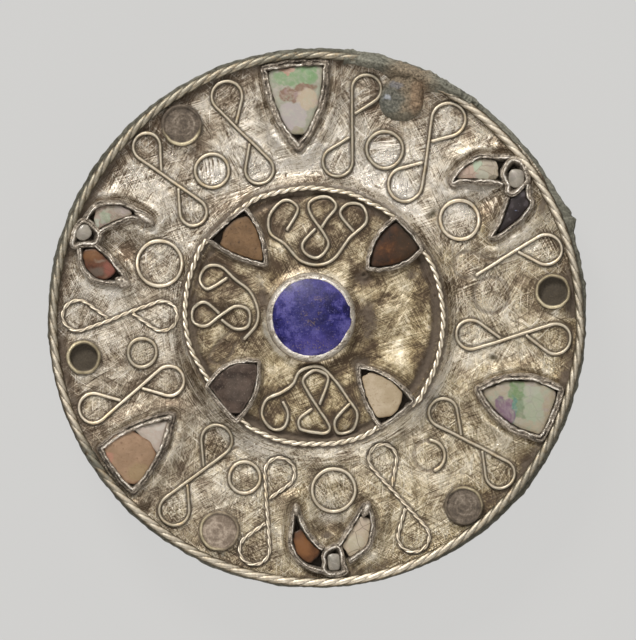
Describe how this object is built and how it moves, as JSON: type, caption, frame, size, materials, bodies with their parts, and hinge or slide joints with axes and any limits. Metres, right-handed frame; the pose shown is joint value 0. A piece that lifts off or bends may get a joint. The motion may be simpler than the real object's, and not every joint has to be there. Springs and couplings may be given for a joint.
{
  "type": "disc brooch",
  "caption": "Round silver-gilt disc brooch with filigree wire loops, stone cells, a raised boss with a blue cabochon, a twisted rim and a plain pin behind.",
  "frame": {"origin": "middle of the disc, on the surface that the pin's feet rest on", "axes": "+Z out of the face along the disc's axis, +X to the right and +Y up as the face is seen, needle along X"},
  "size_m": [0.075, 0.075, 0.0157],
  "materials": {
    "back_metal": "corroded copper alloy, grey-green and rough",
    "gilt_sheet": "worn silver gilt, brushed and scratched, dark tarnish in the hollows",
    "rim_silver": "twisted silver wire, polished on top and dark between the strands",
    "boss_silver": "worn silver with gilt left in the corners",
    "wall_silver": "thin bent silver strip with a bright worn edge",
    "wire_silver": "drawn silver wire, bright along its top",
    "cup_silver": "dull silver collar, grey-brown inside",
    "crust": "collar under a lump of brown and blue-green corrosion",
    "pin_metal": "dark copper alloy, plain",
    "blue_stone": "polished deep blue cabochon, pitted, with gold specks",
    "tan_stone": "tan-brown slab, matt and grainy",
    "amber_glass": "dark amber glass slab",
    "brown_stone": "dark brown slab, dull",
    "pale_stone": "pale beige slab",
    "green_pearl": "iridescent mother-of-pearl, green, pink and lilac-grey",
    "violet_pearl": "iridescent mother-of-pearl, beige, green and violet",
    "pink_stone": "pinkish-brown slab, matt",
    "white_stone": "white slab",
    "red_glass": "red-brown glass slab, crackled",
    "grey_glass": "weathered grey-green iridescent glass",
    "opal_pearl": "opal mother-of-pearl, pink and green",
    "dark_glass": "violet-black glass slab",
    "cracked_pearl": "pale cracked mother-of-pearl",
    "orange_glass": "orange-brown glass slab",
    "white_bead": "white bead, glossy"
  },
  "bodies": {
    "root": {"back_plate": "back_metal", "face_plate": "gilt_sheet", "rim_wire": "rim_silver", "boss_ring": "boss_silver", "centre_bezel": "boss_silver", "centre_stone": "blue_stone", "boss_stone_1": "amber_glass", "boss_stone_2": "tan_stone", "boss_stone_3": "brown_stone", "boss_stone_4": "pale_stone", "boss_wire_1": "wire_silver", "boss_wire_2": "wire_silver", "boss_wire_3": "wire_silver", "tri_cell_1": "wall_silver", "tri_cell_2": "wall_silver", "tri_cell_3": "wall_silver", "tri_stone_1": "green_pearl", "tri_stone_2": "violet_pearl", "tri_stone_3": "pink_stone", "tri_stone_4": "white_stone", "leaf_cell_1": "wall_silver", "leaf_cell_2": "wall_silver", "leaf_cell_3": "wall_silver", "leaf_stone_1": "red_glass", "leaf_stone_2": "grey_glass", "leaf_stone_3": "opal_pearl", "leaf_stone_4": "dark_glass", "leaf_stone_5": "cracked_pearl", "leaf_stone_6": "orange_glass", "leaf_bead_1": "white_bead", "leaf_bead_2": "white_bead", "leaf_bead_3": "white_bead", "cup_1": "cup_silver", "cup_2": "crust", "cup_3": "cup_silver", "cup_4": "cup_silver", "cup_5": "cup_silver", "cup_6": "cup_silver", "circlet_1": "wire_silver", "circlet_2": "wire_silver", "circlet_3": "wire_silver", "circlet_4": "wire_silver", "circlet_5": "wire_silver", "circlet_6": "wire_silver", "circlet_7": "wire_silver", "circlet_8": "wire_silver", "loop_wire_1": "wire_silver", "loop_wire_2": "wire_silver", "loop_wire_3": "wire_silver", "loop_wire_4": "wire_silver", "loop_wire_5": "wire_silver", "loop_wire_6": "wire_silver", "loop_wire_7": "wire_silver", "loop_wire_8": "wire_silver", "loop_wire_9": "wire_silver", "loop_wire_10": "wire_silver", "loop_wire_11": "wire_silver", "loop_wire_12": "wire_silver", "brooch_pin": "pin_metal"}
  },
  "joints": []
}
